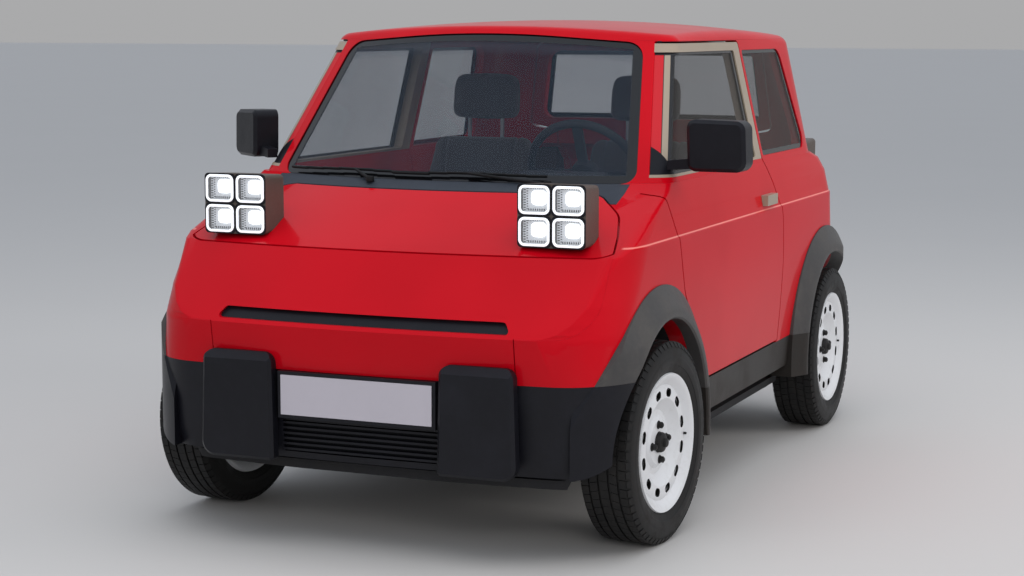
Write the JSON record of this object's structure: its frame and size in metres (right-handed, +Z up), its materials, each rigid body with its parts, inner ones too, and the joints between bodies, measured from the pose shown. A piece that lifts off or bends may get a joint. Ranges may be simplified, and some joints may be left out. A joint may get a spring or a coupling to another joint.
{
  "type": "kei car",
  "caption": "Small two-door city car with lamp clusters on the bonnet, black bumpers with pads, wheel-arch flares and vented steel wheels; doors, lids, steering and wheels move.",
  "frame": {"origin": "middle of the car's outline, on the ground under the tyres", "axes": "+Z up, the nose faces -Y, the car's left side is +X"},
  "size_m": [1.7208, 2.716, 1.4519],
  "materials": {
    "body_red": "gloss clear coat",
    "black_plastic": "satin graphite",
    "grey_plastic": "satin",
    "sill_plastic": "satin",
    "flare_plastic": "satin",
    "tinted_glass": "polished, blue tint",
    "side_glass": "polished, smoke tint",
    "plate": "blank, satin",
    "underbody": "sealed",
    "dark_steel": "as cast",
    "motor_casing": "as cast",
    "lamp_housing": "satin",
    "lamp_lens": "clear, lit",
    "rear_lens": "gloss",
    "seat_fabric": "woven",
    "interior_plastic": "grained",
    "frame_trim": "satin",
    "tyre": "matte",
    "rim_white": "satin"
  },
  "bodies": {
    "body": {"body_shell": "body_red", "roof": "body_red", "cowl": "grey_plastic", "nose_panel": "body_red", "nose_slot": "black_plastic", "windscreen": "tinted_glass", "quarter_glass": "side_glass", "front_bumper": "black_plastic", "rear_bumper": "black_plastic", "bumper_pads": "black_plastic", "front_grille": "black_plastic", "number_plates": "plate", "sills": "sill_plastic", "wheel_flares": "flare_plastic", "floor_pan": "underbody", "rear_lamp_housings": "lamp_housing", "rear_lamp_lenses": "rear_lens", "seats": "seat_fabric", "dashboard": "interior_plastic", "steering_column": "interior_plastic", "front_crossmember": "dark_steel", "rear_axle": "dark_steel", "motor": "motor_casing"},
    "bonnet": {"bonnet": "body_red", "lamp_housings": "lamp_housing", "lamp_lenses": "lamp_lens"},
    "door_left": {"door_left": "body_red", "door_trim_left": "frame_trim", "door_glass_left": "side_glass", "mirror_left": "black_plastic"},
    "door_right": {"door_right": "body_red", "door_trim_right": "frame_trim", "door_glass_right": "side_glass", "mirror_right": "black_plastic"},
    "tailgate": {"tailgate": "body_red", "tailgate_glass": "side_glass"},
    "steering_wheel": {"steering_wheel": "interior_plastic"},
    "knuckle_fl": {"knuckle_fl": "dark_steel"},
    "knuckle_fr": {"knuckle_fr": "dark_steel"},
    "wheel_fl": {"tyre_fl": "tyre", "rim_fl": "rim_white"},
    "wheel_fr": {"tyre_fr": "tyre", "rim_fr": "rim_white"},
    "wheel_rl": {"tyre_rl": "tyre", "rim_rl": "rim_white"},
    "wheel_rr": {"tyre_rr": "tyre", "rim_rr": "rim_white"}
  },
  "joints": [
    {"name": "steer_left", "type": "hinge", "parent": "body", "child": "knuckle_fl", "pos_m": [0.56, -0.86, 0.285], "axis": [0, 0, 1], "range_deg": [-27.8, 36.2]},
    {"name": "steer_right", "type": "hinge", "parent": "body", "child": "knuckle_fr", "pos_m": [-0.56, -0.86, 0.285], "axis": [0, 0, 1], "range_deg": [-27.8, 36.2]},
    {"name": "steering_wheel_turn", "type": "hinge", "parent": "body", "child": "steering_wheel", "pos_m": [0.29, -0.352, 0.985], "axis": [0, 0.891, 0.454], "range_deg": [-417, 543]},
    {"name": "spin_front_left", "type": "hinge", "parent": "knuckle_fl", "child": "wheel_fl", "pos_m": [0.66173, -0.86747, 0.285], "axis": [0.9973, -0.0732, 0], "continuous": true},
    {"name": "spin_front_right", "type": "hinge", "parent": "knuckle_fr", "child": "wheel_fr", "pos_m": [-0.66173, -0.85253, 0.285], "axis": [0.9973, -0.0732, 0], "continuous": true},
    {"name": "spin_rear_left", "type": "hinge", "parent": "body", "child": "wheel_rl", "pos_m": [0.662, 1.005, 0.285], "axis": [1, 0, 0], "continuous": true},
    {"name": "spin_rear_right", "type": "hinge", "parent": "body", "child": "wheel_rr", "pos_m": [-0.662, 1.005, 0.285], "axis": [1, 0, 0], "continuous": true},
    {"name": "door_left_swing", "type": "hinge", "parent": "body", "child": "door_left", "pos_m": [0.698, -0.775, 0.7], "axis": [0, 0, -1], "range_deg": [0, 65]},
    {"name": "door_right_swing", "type": "hinge", "parent": "body", "child": "door_right", "pos_m": [-0.698, -0.775, 0.7], "axis": [0, 0, 1], "range_deg": [0, 65]},
    {"name": "bonnet_lift", "type": "hinge", "parent": "body", "child": "bonnet", "pos_m": [0, -0.722, 0.968], "axis": [-1, 0, 0], "range_deg": [0, 50]},
    {"name": "tailgate_lift", "type": "hinge", "parent": "body", "child": "tailgate", "pos_m": [0, 1.17, 1.38], "axis": [1, 0, 0], "range_deg": [0, 75]}
  ],
  "couplings": [
    {"joint": "steer_right", "follows": "steer_left", "ratio": 1},
    {"joint": "steering_wheel_turn", "follows": "steer_left", "ratio": 15}
  ]
}
